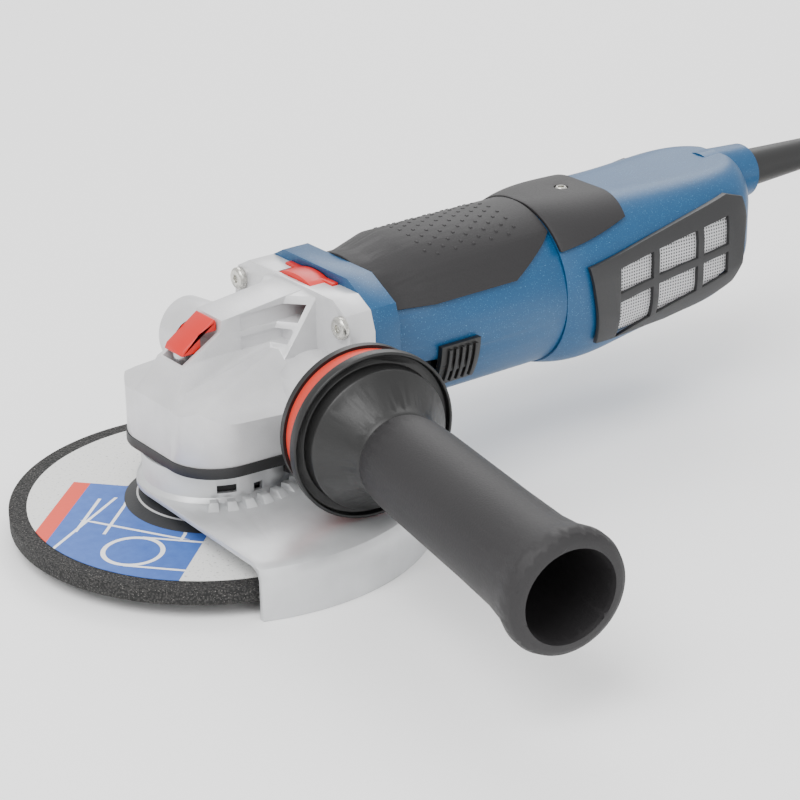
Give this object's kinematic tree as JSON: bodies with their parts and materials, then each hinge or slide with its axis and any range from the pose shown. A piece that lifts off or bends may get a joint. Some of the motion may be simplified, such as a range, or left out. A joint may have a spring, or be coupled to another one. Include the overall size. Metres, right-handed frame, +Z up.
{
  "type": "angle grinder",
  "caption": "Corded angle grinder with a grinding disc under an adjustable guard, a bevel gear head, a side handle and a plug on a coiled cord.",
  "frame": {"origin": "on the spindle's axis, in the middle of its free end, below the clamping nut", "axes": "+X along the motor towards the rear, +Y away from the side handle, +Z up along the spindle into the gear head"},
  "size_m": [0.5645, 0.2745, 0.094],
  "materials": {
    "steel": "machined steel",
    "dark_steel": "blackened steel",
    "bearing_steel": "ground and polished",
    "guard_paint": "satin light grey paint on sheet steel",
    "head_casting": "satin silver-grey die casting",
    "base_casting": "dark coated die casting",
    "abrasive": "resin-bonded black grain",
    "red_plastic": "red moulding",
    "blue_plastic": "dark blue moulding",
    "black_plastic": "black moulding",
    "grip_rubber": "soft charcoal grip",
    "frame_plastic": "dark grey moulding",
    "mesh": "fine light grey mesh",
    "zinc": "zinc plated",
    "copper": "enamelled copper wire",
    "brass": "brass",
    "bronze": "sintered bronze",
    "laminations": "stacked sheets",
    "carbon": "carbon",
    "cord_rubber": "black rubber sheath",
    "red_rubber": "red damping rubber"
  },
  "bodies": {
    "machine": {"spindle_bearing": "bearing_steel", "top_bush": "bronze", "front_bearing": "bearing_steel", "rear_bearing": "bearing_steel", "field_core": "laminations", "field_windings": "copper", "brush_holders": "brass", "carbon_brushes": "carbon", "brush_springs": "steel", "bearing_carrier": "black_plastic", "gear_housing": "head_casting", "housing_screws": "zinc", "base_flange": "base_casting", "base_screws": "zinc", "lock_spring": "steel", "lever_pin": "steel", "lever_spring": "steel", "baffle_ring": "red_plastic", "motor_housing": "blue_plastic", "grip_insert": "grip_rubber", "rear_housing": "blue_plastic", "rear_top_cover": "grip_rubber", "cover_screw": "zinc", "filter_frame_left": "frame_plastic", "filter_frame_right": "frame_plastic", "filter_mesh_left": "mesh", "filter_mesh_right": "mesh", "switch_module": "black_plastic", "electronics_module": "black_plastic", "cord_sleeve": "cord_rubber", "handle_stud": "zinc", "handle_washer": "black_plastic", "damper_ring": "red_rubber", "handle_core": "black_plastic", "handle_grip": "grip_rubber", "power_cord": "cord_rubber", "cord_coil": "cord_rubber", "cord_tail": "cord_rubber", "plug_body": "cord_rubber", "plug_pins": "brass"},
    "spindle": {"spindle": "steel", "crown_gear": "dark_steel", "backing_flange": "steel", "grinding_disc": "abrasive", "clamping_nut": "steel"},
    "armature": {"armature_shaft": "steel", "pinion": "dark_steel", "fan": "black_plastic", "rotor_core": "laminations", "rotor_windings": "copper", "commutator": "copper"},
    "lock": {"lock_button": "red_plastic", "lock_pin": "steel"},
    "switch": {"switch_slider": "black_plastic", "switch_rod": "black_plastic"},
    "guard": {"guard": "guard_paint"},
    "guard_lever": {"guard_lever": "dark_steel"}
  },
  "joints": [
    {"name": "spindle_spin", "type": "hinge", "parent": "machine", "child": "spindle", "pos_m": [0, 0, 0], "axis": [0, 0, 1], "continuous": true},
    {"name": "armature_spin", "type": "hinge", "parent": "machine", "child": "armature", "pos_m": [0, 0, 0.057], "axis": [1, 0, 0], "continuous": true},
    {"name": "lock_press", "type": "slide", "parent": "machine", "child": "lock", "axis": [0, 0, -1], "range_m": [0, 0.005], "stiffness_N_per_m": 600, "springref_m": -0.002, "deforming": ["lock_spring"]},
    {"name": "switch_slide", "type": "slide", "parent": "machine", "child": "switch", "axis": [-1, 0, 0], "range_m": [0, 0.008]},
    {"name": "guard_turn", "type": "hinge", "parent": "machine", "child": "guard", "pos_m": [0, 0, 0.02], "axis": [0, 0, 1], "range_deg": [-90, 90]},
    {"name": "lever_release", "type": "hinge", "parent": "machine", "child": "guard_lever", "pos_m": [0.024, -0.029, 0.0236], "axis": [0, 0, 1], "range_deg": [0, 14], "stiffness_Nm_per_rad": 0.4, "springref_deg": -5.73}
  ],
  "couplings": [
    {"joint": "armature_spin", "follows": "spindle_spin", "ratio": 3.1667}
  ]
}
